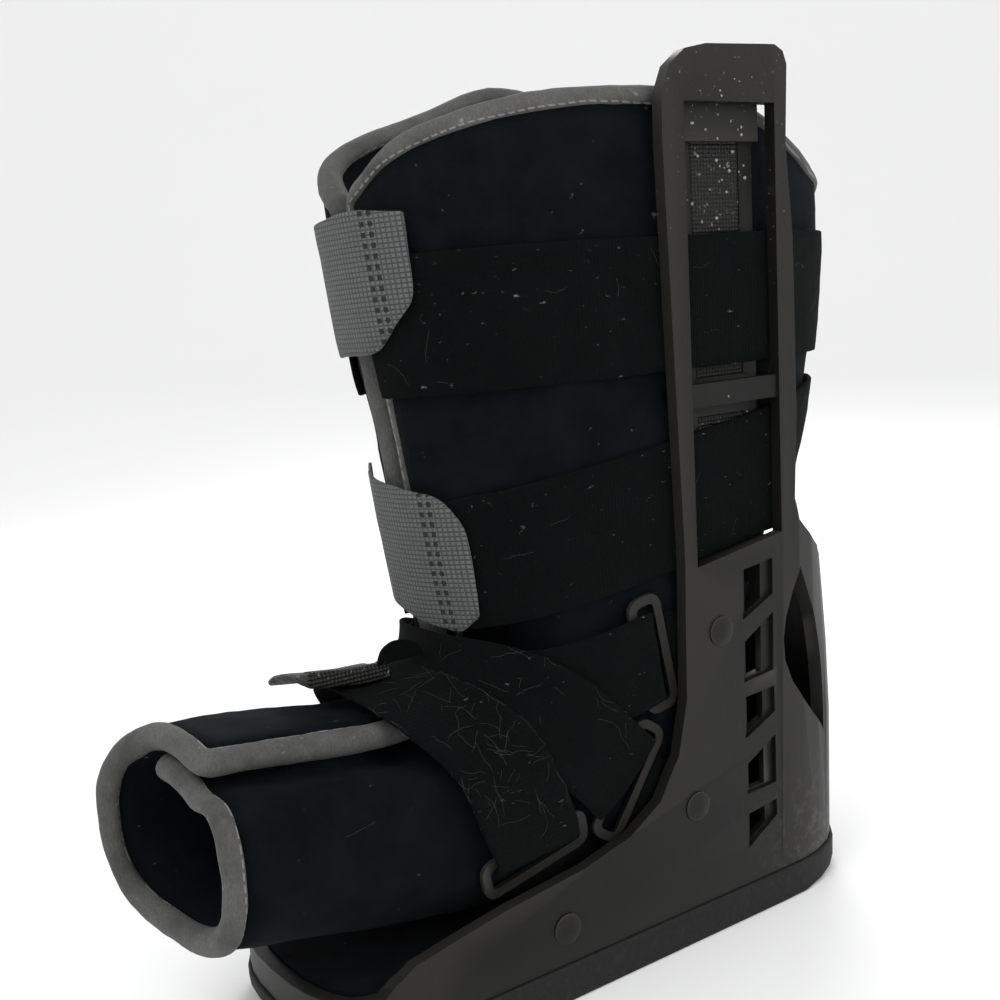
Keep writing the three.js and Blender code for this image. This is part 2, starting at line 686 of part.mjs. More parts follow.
// The webbing tab between a ring and its rivet, under the shell's wall.
function ringTabGeometry(ring, [rivetY, rivetZ], side) {
  const { point, long, short } = ringFrame(ring);
  const toRivet = new THREE.Vector3(0, rivetY - point.y, rivetZ - point.z);
  const way = short.clone().multiplyScalar(sign(short.dot(toRivet)));
  const start = RING.short * HALF + RING_TAB.gap;
  const lowest = (point.z - RING_TAB.lowest) / max(-way.z, CLEAR);
  const end = min(max(toRivet.dot(way) + RING_TAB.reach, start + RING.short), lowest);
  const steps = 4;
  const grids = [RING_TAB.under + RING_TAB.thick, RING_TAB.under].map((level) => {
    const grid = [];
    for (let i = 0; i <= steps; i += 1) {
      const f = i / steps;
      const row = [];
      const slide = toRivet.dot(long) * f * HALF;
      for (let k = 0; k <= 2; k += 1) {
        const place = point.clone().addScaledVector(way, start + (end - start) * f)
          .addScaledVector(long, slide + RING_TAB.half * (k - 1) * (1 - f * HALF));
        const { s, t } = faceAt(place.y, place.z);
        row.push(raised(s, t, level));
      }
      grid.push(mirrored(row, side));
    }
    return grid;
  });
  return sheetGeometry(...grids);
}

function rivetGeometry([y, z], side) {
  const up = 2;
  const lean = Math.atan((sideAt(z + up) - sideAt(z - up)) / (2 * up));
  const outline = RIVET_OUTLINE.map(([r, h]) => new THREE.Vector2(r * RIVET.radius, h));
  const turned = new THREE.LatheGeometry(outline, RIVET.steps);
  turned.rotateZ(-PI * HALF);
  turned.rotateY(lean);
  turned.translate(footSide(y, z) + RIVET.gap, y, z);
  return side < 0 ? geometryOf(solidOf(turned).mirror([1, 0, 0])) : geometryOf(solidOf(turned));
}

// The shell's outer half width at a side view's point.
function footSide(y, z) {
  const outline = planOutline(z, 0).filter(([x]) => x >= 0);
  for (let k = 0; k < outline.length - 1; k += 1) {
    const [x1, y1] = outline[k];
    const [x2, y2] = outline[k + 1];
    if (y >= y1 && y <= y2) return x1 + ((x2 - x1) * (y - y1)) / (y2 - y1);
  }
  return 0;
}

const REACH = 120;
const box = (fromY, toY, fromZ, toZ) => sidePrism(
  [[fromY, fromZ], [toY, fromZ], [toY, toZ], [fromY, toZ]], -REACH, REACH,
);
const bothSlabs = (inner, outer) => slab(inner, outer, 1).add(slab(inner, outer, -1));

// The uprights' centre plates with what joins them to the rails, and the room they need in the liner.
function plateSolids(grown) {
  const { frontEdge, rearEdge, plateFront, plateRear, bridgeLow, bridgeHigh, footLow } = UPRIGHT;
  const { headLow, headHigh, hangLow, hangIn, hangOut, slotTop, plateThick } = UPRIGHT;
  const front = plateFront - grown;
  const rear = plateRear + grown;
  const low = -plateThick - grown;
  const plates = box(front, rear, footLow - grown, headHigh + grown).intersect(bothSlabs(low, grown));
  const bridge = box(frontEdge, rearEdge, bridgeLow - grown, bridgeHigh + grown)
    .intersect(bothSlabs(low, UPRIGHT.bridgeOut));
  const foot = sidePrism(slotFoot(front, rear, footLow - grown), -REACH, REACH);
  const wide = bridge.add(foot.intersect(bothSlabs(low, SHELL.outset)));
  const head = box(front, rear, headLow - grown, headHigh + grown).intersect(bothSlabs(low, hangOut));
  const hang = box(front, rear, hangLow - grown, slotTop + SHELL.wall)
    .intersect(bothSlabs(hangIn - grown, hangOut));
  const profile = sidePrism(SIDE_PROFILE, -REACH, REACH);
  return plates.add(wide).add(head).add(hang).intersect(profile);
}
const SIDE_TOP = 345;

// The slanted lower edge of the upright's opening, and the outline below it.
function slotEdge(y) {
  const { frontIn, rearIn, slotLowFront, slotLowRear } = UPRIGHT;
  return slotLowFront + ((slotLowRear - slotLowFront) * (y - frontIn)) / (rearIn - frontIn);
}
const slotFoot = (front, rear, low) => [
  [front, low], [rear, low], [rear, slotEdge(rear)], [front, slotEdge(front)],
];

// The windows of the rear panel, as side view outlines widened by a margin.
function windowOutline([frontLow, frontHigh, rearLow, rearHigh], fromY, toY, margin) {
  const span = WINDOW.rearY - WINDOW.frontY;
  const low = (y) => frontLow + ((rearLow - frontLow) * (y - WINDOW.frontY)) / span - margin;
  const high = (y) => frontHigh + ((rearHigh - frontHigh) * (y - WINDOW.frontY)) / span + margin;
  return [[fromY, low(fromY)], [toY, low(toY)], [toY, high(toY)], [fromY, high(fromY)]];
}

// The opening in a rear quarter of the heel, cut along the way it faces.
function leafCut(side) {
  const away = new THREE.Vector3(cos(LEAF.lean * DEGREE), sin(LEAF.lean * DEGREE), 0);
  const across = new THREE.Vector3(-away.y, away.x, 0);
  const [lowH, lowZ] = LEAF.lowTip;
  const [highH, highZ] = LEAF.highTip;
  const outline = [];
  const edge = (bulge, f) => [lowH + (highH - lowH) * f + bulge * sin(PI * f), lowZ + (highZ - lowZ) * f];
  for (let k = 0; k < LEAF.steps; k += 1) outline.push(edge(LEAF.front, k / LEAF.steps));
  for (let k = LEAF.steps; k > 0; k -= 1) outline.push(edge(LEAF.rear, k / LEAF.steps));
  const rings = [0, LEAF.deep].map((deep) => mirrored(outline.map(([h, z]) => new THREE.Vector3(0, LEAF.axisY, z)
    .addScaledVector(across, h).addScaledVector(away, deep)), side));
  return prismBetween(rings);
}

function shellSolid() {
  const { floorLow, floorTop, wall } = SHELL;
  const outerHeights = [floorLow, ...LOFT_HEIGHTS.filter((z) => z > floorLow)];
  const innerHeights = [floorTop, ...LOFT_HEIGHTS.filter((z) => z > floorTop), SIDE_TOP + SHELL.step];
  let solid = planLoft(outerHeights, 0).subtract(planLoft(innerHeights, wall));
  solid = solid.intersect(sidePrism(SIDE_PROFILE, -REACH, REACH));
  const { frontIn, rearIn, slotTop } = UPRIGHT;
  const opening = [
    [frontIn, slotEdge(frontIn)], [rearIn, slotEdge(rearIn)], [rearIn, slotTop], [frontIn, slotTop],
  ];
  solid = solid.subtract(sidePrism(opening, -REACH, REACH));
  solid = solid.add(plateSolids(0));
  for (const [low, high] of Object.values(HOOK_STRIPS)) {
    const { front, rear, gap, thick } = HOOK;
    solid = solid.subtract(box(front - gap, rear + gap, low - gap, high + gap)
      .intersect(bothSlabs(-thick - gap, 1)));
  }
  const { frontY, rearY, panelFront, panelRear, panelDeep, margin } = WINDOW;
  for (const row of WINDOWS) {
    solid = solid.subtract(sidePrism(windowOutline(row, frontY, rearY, 0), -REACH, REACH));
    const pocket = sidePrism(windowOutline(row, panelFront, panelRear, margin), -REACH, REACH);
    solid = solid.subtract(pocket.intersect(bothSlabs(SHELL.outset - panelDeep, REACH)));
  }
  return solid.subtract(leafCut(1)).subtract(leafCut(-1));
}

function soleSolid() {
  const profile = [
    [SOLE.toeEnd, SOLE.top], [SOLE.heelEnd, SOLE.top], [SOLE.heelEnd, SOLE.heelRise],
    [SOLE.flatTo, SOLE.flat], [SOLE.flatFrom, SOLE.flat],
  ];
  for (let k = 1; k <= SOLE.steps; k += 1) {
    const f = k / SOLE.steps;
    profile.push([SOLE.flatFrom + (SOLE.toeEnd - SOLE.flatFrom) * f, SOLE.toeRise * f ** 2]);
  }
  const heights = [-1, SOLE.top];
  let solid = planLoft(heights, -SOLE.flange).intersect(sidePrism(profile, -REACH, REACH));
  for (let k = 0; k < SOLE.grooves; k += 1) {
    const y = SOLE.grooveFrom + k * SOLE.groovePitch;
    const groove = sidePrism(
      [[y, -1], [y + SOLE.grooveWide, -1], [y + SOLE.grooveWide, SOLE.grooveDeep], [y, SOLE.grooveDeep]],
      -SOLE.grooveHalf, SOLE.grooveHalf,
    );
    solid = solid.subtract(groove);
  }
  return solid;
}

function padSolid() {
  const low = SHELL.floorTop + CLEAR;
  return planLoft([low, low + PAD.thick], SHELL.wall + PAD.gap);
}

function linerSolid() {
  const cloth = solidOf(sheetGeometry(clothGrid(0), clothGrid(LINER.wall)));
  return cloth.subtract(plateSolids(UPRIGHT.recessGap));
}

function bindingSolid() {
  return solidOf(bindingGeometry()).subtract(plateSolids(UPRIGHT.recessGap));
}

function hookSolid([low, high], side) {
  const { front, rear, thick, proud } = HOOK;
  return box(front, rear, low, high).intersect(slab(-thick, proud, side));
}

const root = new THREE.Group();
function place(name, geometry, colour) {
  const mesh = new THREE.Mesh(geometry, materialOf(colour));
  mesh.name = name;
  root.add(mesh);
}

place("shell", geometryOf(shellSolid()), "plastic");
place("outsole", geometryOf(soleSolid()), "rubber");
place("footbed_pad", geometryOf(padSolid()), "navy");
place("liner", geometryOf(linerSolid()), "fabric");
place("liner_binding", geometryOf(bindingSolid()), "binding");
const SIDES = { near: 1, far: -1 };
for (const [where, side] of Object.entries(SIDES)) {
  for (const [level, range] of Object.entries(HOOK_STRIPS)) {
    place(`hook_strip_${level}_${where}`, geometryOf(hookSolid(range, side)), "ribbed");
  }
  for (const [key, ring] of Object.entries(RINGS)) {
    place(`strap_ring_${key}_${where}`, ringGeometry(ring, side), "plastic");
    place(`ring_tab_${key}_${where}`, ringTabGeometry(ring, RIVETS[key], side), "loop");
    place(`rivet_${key}_${where}`, rivetGeometry(RIVETS[key], side), "plastic");
  }
}
for (const [level, strap] of Object.entries(CALF_STRAPS)) {
  place(`calf_strap_${level}`, calfStrap(strap), "loop");
}
for (const [level, tab] of Object.entries(TABS)) place(`calf_tab_${level}`, calfTab(tab), "hook");
for (const [key, strap] of Object.entries(ANKLE_STRAPS)) {
  place(`ankle_strap_${key}`, ankleStrap(strap), "loop");
}
place("instep_tab", instepTab(INSTEP_TAB), "ribbed");
place("instep_strap_end", instepEnd(INSTEP_END), "loop");

export default root;
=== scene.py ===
import math
import random

import bmesh
import bpy
from mathutils import Matrix, Vector, noise
from mathutils.bvhtree import BVHTree


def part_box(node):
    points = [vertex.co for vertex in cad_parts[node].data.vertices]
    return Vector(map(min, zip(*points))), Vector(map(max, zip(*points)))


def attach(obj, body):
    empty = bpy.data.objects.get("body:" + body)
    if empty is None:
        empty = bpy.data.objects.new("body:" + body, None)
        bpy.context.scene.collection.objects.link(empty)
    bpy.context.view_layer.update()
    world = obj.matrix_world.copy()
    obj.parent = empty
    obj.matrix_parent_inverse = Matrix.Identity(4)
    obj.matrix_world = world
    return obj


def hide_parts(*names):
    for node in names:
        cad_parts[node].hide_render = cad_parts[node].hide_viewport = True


bl_info = {
    "name": "Walking boot",
    "version": (1, 0, 0),
    "blender": (4, 5, 0),
    "location": "3D View > Sidebar > Boot",
    "description": "Dresses the walking boot's frame in moulded plastic, padded cloth and webbing",
    "category": "Object",
}

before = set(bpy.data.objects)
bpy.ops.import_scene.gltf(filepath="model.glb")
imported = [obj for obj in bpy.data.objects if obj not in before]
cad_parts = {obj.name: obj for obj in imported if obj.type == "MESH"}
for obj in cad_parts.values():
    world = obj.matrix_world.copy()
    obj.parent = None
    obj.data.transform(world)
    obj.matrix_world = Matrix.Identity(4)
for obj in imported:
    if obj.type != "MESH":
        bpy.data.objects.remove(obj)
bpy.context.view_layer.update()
MM = 0.001
FULL_TURN = 2 * math.pi
SIDES = ("near", "far")
LEVELS = ("upper", "lower")
KEYS = ("a", "b", "c")
# The photograph's view of the boot: place in metres, angles in degrees, lens in millimetres.
CAMERA = {
    "place": (0.41218, -0.31749, 0.24456), "turn": 33.0, "pitch": 8.0, "roll": 5.0,
    "lens": 46.8, "sensor": 36.0, "nearest": 0.01,
}
# Each lamp: where it is, what it points at, how wide it is and its power in watts.
LAMPS = {
    "key": ((0.35, -1.0, 1.35), (0, -0.03, 0.15), 0.9, 7.0),
    "side": ((1.3, 0.35, 0.9), (0, 0, 0.17), 0.8, 5.5),
    "rim": ((-0.9, 0.9, 1.1), (0, 0, 0.2), 0.7, 9.0),
}
ROOM_COLOUR = (0.97, 0.97, 0.975, 1)
ROOM_LIGHT = 0.9
# The floor and the wall it bends up into, in metres: flat in front and behind, bend, height and half width.
SWEEP = {"front": -5.0, "flat": 1.4, "bend": 1.6, "height": 6.0, "half": 8.0, "steps": 16}
# Pitches of what is woven, moulded or sewn.
RIB_PITCH = 1.6 * MM
LINE_PITCH = 2.4 * MM
BASKET_PITCH = 3.4 * MM
HOOK_PITCH = 1.5 * MM
HOLES = {"pitch": 3.6 * MM, "half": 0.9 * MM, "first": 10.5 * MM, "second": 13.5 * MM, "tall": 0.8 * MM}
SEAM = {"from_cloth": 2.4 * MM, "half": 0.35 * MM, "pitch": 4.2 * MM, "dash": 2.8 * MM}
# Mean radii that turn an angle round the calf or the foot into a length, and the foot's axis.
CALF_RADIUS = 0.075
FOOT_RADIUS = 0.048
FOOT_AXIS = 0.075
# How far the liner's edge may lie from its binding to be drawn up to it, and how far it goes in.
TUCK_REACH = 3 * MM
TUCK_DEPTH = 0.15 * MM
# Hairs: the share that lies on each piece, and the lowest height there in metres.
HAIR_PLACES = {
    "ankle_webbing_c": (0.5, 0.07), "ankle_webbing_b": (0.22, 0.09), "calf_webbing_upper": (0.1, 0.2),
    "calf_webbing_lower": (0.1, 0.15), "padded_liner": (0.08, 0.03),
}
HAIR = {"short": 3, "long": 13, "steps": 9, "bend": 0.35, "arch": 0.4 * MM, "stand": 1.6, "shade": 0.36}
# Crumbs: where they fall on the near upright, in metres, and their radii in millimetres.
CRUMBS = {"out": 0.09, "front": 0.006, "rear": 0.036, "small": 0.25, "large": 0.75, "reach": 0.08}
CRUMBS_HIGH = (0.26, 0.325)
CRUMBS_LOW = (0.16, 0.30)


def colour(name, value, words):
    return bpy.props.FloatVectorProperty(
        name=name, description=words, subtype="COLOR", size=3, min=0, max=1, default=value)


class BootColours(bpy.types.PropertyGroup):
    """Base colours of the boot's finishes."""
    plastic: colour("Plastic", (0.0072, 0.0069, 0.0064), "Moulded shell, rings and rivets")
    worn: colour("Worn plastic", (0.050, 0.048, 0.045), "Plastic where it is rubbed")
    rubber: colour("Rubber", (0.0075, 0.0075, 0.008), "Outsole")
    liner: colour("Liner", (0.0020, 0.0025, 0.0036), "Brushed cloth of the liner")
    lining: colour("Lining", (0.0042, 0.0055, 0.0072), "Inner face of the liner")
    binding: colour("Binding", (0.078, 0.077, 0.075), "Tape round the liner's edge")
    webbing: colour("Webbing", (0.0017, 0.0021, 0.0022), "Loop webbing of the straps")
    tab: colour("Tabs", (0.100, 0.104, 0.102), "Woven hook tabs")
    hook: colour("Hook tape", (0.012, 0.0115, 0.011), "Hook tape on the uprights")
    dust: colour("Dust", (0.30, 0.30, 0.29), "Lint, hairs and crumbs")


class BootSizes(bpy.types.PropertyGroup):
    """Sizes of the boot's small forms."""
    edge: bpy.props.FloatProperty(
        name="Moulded edge", description="Rounding of the plastic's edges", default=0.0009, unit="LENGTH")
    pucker: bpy.props.FloatProperty(
        name="Pucker", description="Depth of the liner's soft dents", default=0.0011, unit="LENGTH")
    ripple: bpy.props.FloatProperty(
        name="Ripple", description="Depth of the webbing's ripples", default=0.00035, unit="LENGTH")
    hair: bpy.props.FloatProperty(
        name="Hair", description="Radius of one hair of lint", default=0.00003, unit="LENGTH")
    hairs: bpy.props.IntProperty(
        name="Hairs", description="How many hairs lie on the straps", default=170)
    crumbs: bpy.props.IntProperty(
        name="Crumbs", description="How many crumbs lie on the uprights", default=46)
    seed: bpy.props.IntProperty(
        name="Seed", description="Start of the scattered lint", default=7)


class Wire:
    """A socket whose sums, products and comparisons add Math nodes."""

    def __init__(self, finish, socket):
        self.finish = finish
        self.socket = socket

    def _math(self, operation, first, second=0.0):
        return self.finish.node("ShaderNodeMath", {"operation": operation}, {0: first, 1: second})

    def __add__(self, other):
        return self._math("ADD", self, other)

    def __sub__(self, other):
        return self._math("SUBTRACT", self, other)

    def __mul__(self, other):
        return self._math("MULTIPLY", self, other)

    def __lt__(self, other):
        return self._math("LESS_THAN", self, other)

    __radd__ = __add__
    __rmul__ = __mul__

    def sine(self):
        return self._math("SINE", self)

    def size(self):
        return self._math("ABSOLUTE", self)

    def both(self, other):
        return self._math("MAXIMUM", self, other)

    def rest(self, length):
        return self._math("FLOORED_MODULO", self, length)


class Finish:
    """A material with one principled shader and the nodes that lead to it."""

    def __init__(self, name, gloss=0.5, sheen=0.0):
        self.material = bpy.data.materials.new(name)
        self.material.use_nodes = True
        self.tree = self.material.node_tree
        self.tree.nodes.clear()
        self.shader = self.tree.nodes.new("ShaderNodeBsdfPrincipled")
        out = self.tree.nodes.new("ShaderNodeOutputMaterial")
        self.tree.links.new(self.shader.outputs[0], out.inputs[0])
        self.shader.inputs["Specular IOR Level"].default_value = gloss
        self.shader.inputs["Sheen Weight"].default_value = sheen
        self.place = self.node("ShaderNodeTexCoord", {}, {}, "Object")

    def node(self, kind, settings, values, out=0):
        made = self.tree.nodes.new(kind)
        for name, value in settings.items():
            setattr(made, name, value)
        for name, value in values.items():
            self.feed(made.inputs[name], value)
        return Wire(self, made.outputs[out])

    def feed(self, socket, value):
        if isinstance(value, Wire):
            self.tree.links.new(value.socket, socket)
        elif hasattr(value, "__len__") and len(value) == 3 and socket.type == "RGBA":
            socket.default_value = (*value, 1)
        else:
            socket.default_value = value

    def cloud(self, scale, detail=3.0, rough=0.55, vector=None):
        """Soft noise with so many patches in a metre."""
        return self.node("ShaderNodeTexNoise", {}, {
            "Vector": vector or self.place, "Scale": scale, "Detail": detail, "Roughness": rough})

    def stretched(self, scale):
        """The place, scaled by its own amount along each axis."""
        return self.node("ShaderNodeMapping", {}, {"Vector": self.place, "Scale": scale})

    def step(self, value, low, high):
        """0 at low, 1 at high."""
        return self.node("ShaderNodeMapRange", {}, {"Value": value, "From Min": low, "From Max": high})

    def mix(self, factor, first, second):
        return self.node("ShaderNodeMix", {"data_type": "RGBA"}, {0: factor, 6: first, 7: second}, 2)

    def axes(self, vector):
        split = self.node("ShaderNodeSeparateXYZ", {}, {0: vector})
        return [Wire(self, split.socket.node.outputs[k]) for k in range(3)]

    def weave(self):
        return self.axes(self.node("ShaderNodeAttribute", {"attribute_name": "weave"}, {}, "Vector"))

    def wear(self, low, high):
        """Where the piece's edges stand out."""
        bend = self.node("ShaderNodeNewGeometry", {}, {}, "Pointiness")
        return self.step(bend, low, high)

    def close(self, base, rough, height, distance, strength=1.0):
        """Gives the shader its colour, roughness and bump, and returns the material."""
        self.feed(self.shader.inputs["Base Color"], base)
        self.feed(self.shader.inputs["Roughness"], rough)
        bump = self.node("ShaderNodeBump", {}, {
            "Height": height, "Distance": distance, "Strength": strength})
        self.feed(self.shader.inputs["Normal"], bump)
        return self.material


def moulded_plastic(name, base, worn, dust, scuffed):
    """Grained plastic, paler where it is rubbed, with scuffs low on the heel and dust high up."""
    f = Finish(name, 0.16)
    broad = f.cloud(18.0)
    grain = f.cloud(1500.0, 2.0)
    scratch = f.cloud(1.0, 4.0, 0.6, f.stretched((90.0, 900.0, 60.0)))
    marks = f.step(scratch, 0.66, 0.74)
    shade = f.mix(f.step(broad, 0.35, 0.7) * 0.55, base, [c * 1.7 for c in base])
    shade = f.mix(f.wear(0.51, 0.62) * 0.75, shade, worn)
    shade = f.mix(marks * 0.35, shade, worn)
    if scuffed:
        _, y, z = f.axes(f.place)
        low = f.step(z, 0.062, 0.03) * f.step(y, 0.02, 0.06)
        shade = f.mix(low * f.step(f.cloud(210.0, 5.0, 0.7), 0.5, 0.62) * 0.8, shade, worn)
        high = f.step(z, 0.2, 0.31)
        specks = f.step(f.cloud(620.0, 2.0), 0.7, 0.76)
        shade = f.mix(high * specks * 0.55, shade, dust)
    rough = 0.34 + 0.2 * broad + 0.2 * marks
    return f.close(shade, rough, grain * 0.6 + scratch * 0.4, 0.12 * MM, 0.6)


def brushed_cloth(name, base, second, dust):
    """Brushed knit with a matted nap and specks of lint."""
    f = Finish(name, 0.06, 0.01)
    nap = f.cloud(900.0, 4.0, 0.7)
    matted = f.cloud(70.0, 4.0, 0.6)
    shade = f.mix(f.step(matted, 0.35, 0.7), base, second)
    shade = f.mix(f.step(nap, 0.45, 0.8) * 0.5, shade, [c * 2.0 for c in base])
    lints = f.step(f.cloud(1.0, 3.0, 0.5, f.stretched((500.0, 160.0, 260.0))), 0.72, 0.79)
    shade = f.mix(lints * 0.3, shade, dust)
    return f.close(shade, 0.85 + 0.1 * nap, nap + matted * 0.5, 0.5 * MM, 0.7)


def loop_webbing(name, base, dust):
    """Loop webbing: ribs across the run under a fuzzy nap, with trodden-in lint."""
    f = Finish(name, 0.05, 0.01)
    along, across, _ = f.weave()
    ribs = (along * (FULL_TURN / RIB_PITCH)).sine() * 0.5 + 0.5
    lines = (across * (FULL_TURN / LINE_PITCH)).sine() * 0.5 + 0.5
    fuzz = f.cloud(1300.0, 5.0, 0.75)
    matted = f.cloud(60.0, 4.0, 0.65)
    shade = f.mix(f.step(fuzz, 0.4, 0.75) * 0.6, base, [c * 2.4 + 0.001 for c in base])
    shade = f.mix(f.step(matted, 0.42, 0.75) * 0.5, shade, [c * 2.2 for c in base])
    lints = f.step(f.cloud(1.0, 3.0, 0.6, f.stretched((420.0, 200.0, 520.0))), 0.69, 0.76)
    shade = f.mix(lints * 0.45, shade, dust)
    height = fuzz * 1.5 + ribs * 0.22 + lines * 0.14 + matted * 0.7
    return f.close(shade, 0.8 + 0.15 * fuzz, height, 0.7 * MM, 0.8)


def basket_weave(name, base):
    """Grey basket weave with two rows of stitch holes by the free end."""
    f = Finish(name, 0.3, 0.05)
    along, across, row = f.weave()
    wave = FULL_TURN / BASKET_PITCH
    over = (along * wave).sine() * (across * wave).sine()
    threads = (along * (wave * 2)).sine().size() * 0.5 + (across * (wave * 2)).sine().size() * 0.5
    basket = over.size() * 0.7 + threads * 0.3
    holes = (across.rest(HOLES["pitch"]) - HOLES["pitch"] / 2).size() < HOLES["half"]
    first = (row - HOLES["first"]).size() < HOLES["tall"]
    second = (row - HOLES["second"]).size() < HOLES["tall"]
    stitched = holes * first.both(second)
    wander = f.cloud(120.0, 3.0)
    shade = f.mix(f.step(basket, 0.15, 0.8), [c * 0.42 for c in base], [c * 1.15 for c in base])
    shade = f.mix(f.step(wander, 0.4, 0.75) * 0.35, shade, [c * 0.65 for c in base])
    shade = f.mix(stitched * 0.95, shade, [c * 0.07 for c in base])
    return f.close(shade, 0.72 + 0.1 * wander, basket - stitched * 1.6, 0.7 * MM, 0.9)


def binding_tape(name, base, dust):
    """Stretch tape: fine ribs, soiled folds and a dashed seam by the cloth."""
    f = Finish(name, 0.2, 0.05)
    seam = f.node("ShaderNodeAttribute", {"attribute_name": "seam"}, {}, "Fac")
    x, y, z = f.axes(f.place)
    dashes = (x * 0.6 + y * 0.9 + z).rest(SEAM["pitch"]) < SEAM["dash"]
    stitched = ((seam - SEAM["from_cloth"]).size() < SEAM["half"]) * dashes
    ribs = f.cloud(1.0, 2.0, 0.5, f.stretched((1500.0, 1500.0, 600.0)))
    soil = f.cloud(55.0, 5.0, 0.65)
    shade = f.mix(f.step(soil, 0.4, 0.7), [c * 1.25 for c in base], [c * 0.6 for c in base])
    shade = f.mix(f.step(ribs, 0.35, 0.7) * 0.5, shade, [c * 0.5 for c in base])
    shade = f.mix(f.step(f.cloud(260.0, 2.0), 0.7, 0.75) * 0.4, shade, dust)
    shade = f.mix(stitched * 0.9, shade, [c * 2.6 for c in base])
    return f.close(shade, 0.78 + 0.1 * soil, ribs + soil * 0.4 + stitched * 0.8, 0.4 * MM, 0.8)


def hook_tape(name, base, dust):
    """Hook tape: rows of small hooks that hold pale crumbs."""
    f = Finish(name, 0.25)
    _, y, z = f.axes(f.place)
    wave = FULL_TURN / HOOK_PITCH
    hooks = (z * wave).sine() * 0.5 + (y * wave).sine() * 0.5
    shade = f.mix(f.step(hooks, -0.3, 0.8), [c * 0.5 for c in base], [c * 2.6 for c in base])
    shade = f.mix(f.step(f.cloud(420.0, 3.0, 0.7), 0.63, 0.7) * 0.6, shade, dust)
    return f.close(shade, 0.55 + 0.2 * hooks, hooks, 0.6 * MM, 0.8)


def worn_rubber(name, base, worn):
    """Tread rubber, dusty on its rounded edge."""
    f = Finish(name, 0.2)
    grit = f.cloud(420.0, 4.0, 0.7)
    broad = f.cloud(24.0, 3.0)
    shade = f.mix(f.step(grit, 0.5, 0.75) * 0.3, base, worn)
    shade = f.mix(f.wear(0.51, 0.6) * 0.5, shade, [c * 0.7 for c in worn])
    return f.close(shade, 0.62 + 0.2 * broad, grit, 0.4 * MM, 0.6)


def plain_dust(name, base):
    """Pale fibre and crumb."""
    f = Finish(name, 0.1)
    speck = f.cloud(300.0)
    shade = f.mix(speck, [c * 0.7 for c in base], base)
    return f.close(shade, 0.9 + 0.05 * speck, speck, 0.1 * MM, 0.3)


def merged_copy(node):
    """A bmesh of a frame node's solid with its corners joined."""
    bm = bmesh.new()
    bm.from_mesh(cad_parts[node].data)
    bmesh.ops.remove_doubles(bm, verts=bm.verts, dist=0.01 * MM)
    return bm


def piece(bm, name):
    """An object of the bmesh, which is freed."""
    mesh = bpy.data.meshes.new(name)
    bm.to_mesh(mesh)
    bm.free()
    made = bpy.data.objects.new(name, mesh)
    bpy.context.scene.collection.objects.link(made)
    return made


def dress(made, slot, material, *nodes):
    """Gives the piece its material, hides the frame's nodes that it stands for and hangs it on the root body;
    the slot is not used.
    """
    made.data.materials.clear()
    made.data.materials.append(material)
    if nodes:
        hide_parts(*nodes)
    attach(made, "root")


def settled(made):
    """The piece with its modifiers made part of its mesh."""
    bpy.context.view_layer.update()
    shaped = made.evaluated_get(bpy.context.evaluated_depsgraph_get())
    mesh = bpy.data.meshes.new_from_object(shaped)
    made.modifiers.clear()
    made.data = mesh
    return made


def moulded(node, name, width, sharp=32.0):
    """A hard piece: flat faces joined, edges rounded, curved faces shaded smooth."""
    bm = merged_copy(node)
    bmesh.ops.dissolve_limit(bm, angle_limit=math.radians(1.2), verts=bm.verts, edges=bm.edges)
    for edge in bm.edges:
        edge.smooth = edge.calc_face_angle(math.pi) < math.radians(sharp)
    for face in bm.faces:
        face.smooth = True
    made = piece(bm, name)
    rounded = made.modifiers.new("edge", "BEVEL")
    rounded.width = width
    rounded.segments = 2
    rounded.limit_method = "ANGLE"
    rounded.angle_limit = math.radians(sharp)
    rounded.harden_normals = True
    return made


def band(node, name, levels=2, crease=0.75):
    """A soft band: its triangles joined to quads and subdivided, its cut edges kept."""
    bm = merged_copy(node)
    bmesh.ops.join_triangles(
        bm, faces=bm.faces, angle_face_threshold=math.radians(30),
        angle_shape_threshold=math.radians(60))
    layer = bm.edges.layers.float.get("crease_edge") or bm.edges.layers.float.new("crease_edge")
    for edge in bm.edges:
        if edge.calc_face_angle(0.0) > math.radians(50):
            edge[layer] = crease
    for face in bm.faces:
        face.smooth = True
    made = piece(bm, name)
    smooth = made.modifiers.new("smooth", "SUBSURF")
    smooth.levels = smooth.render_levels = levels
    return settled(made)


def ruffle(made, depth, size, seed, swell=0.0):
    """Moves the piece's points along their normals by a soft noise and an even swell."""
    shift = Vector((seed * 3.1, seed * 1.7, seed * 5.3))
    normals = [vertex.normal.copy() for vertex in made.data.vertices]
    for vertex, normal in zip(made.data.vertices, normals):
        vertex.co += normal * (swell + depth * noise.fractal(vertex.co / size + shift, 0.8, 2.0, 3))
    return made


def mark_seam(made, cloth):
    """Stores how far each point lies from the cloth, for the seam."""
    tree = BVHTree.FromObject(cloth, bpy.context.evaluated_depsgraph_get())
    layer = made.data.attributes.new("seam", "FLOAT", "POINT")
    for vertex, item in zip(made.data.vertices, layer.data):
        item.value = tree.find_nearest(vertex.co)[3]


def tuck(made, cover, reach):
    """Draws the piece's points that lie near the cover up to its face."""
    tree = BVHTree.FromObject(cover, bpy.context.evaluated_depsgraph_get())
    for vertex in made.data.vertices:
        point, _, _, distance = tree.find_nearest(vertex.co, reach)
        if point is not None and distance > 0:
            vertex.co += (point - vertex.co) * (1 + TUCK_DEPTH / distance)


def add_weave(made, rule):
    """Stores how far along and across the cloth each point lies."""
    layer = made.data.attributes.new("weave", "FLOAT_VECTOR", "POINT")
    for vertex, item in zip(made.data.vertices, layer.data):
        item.vector = rule(vertex.co)


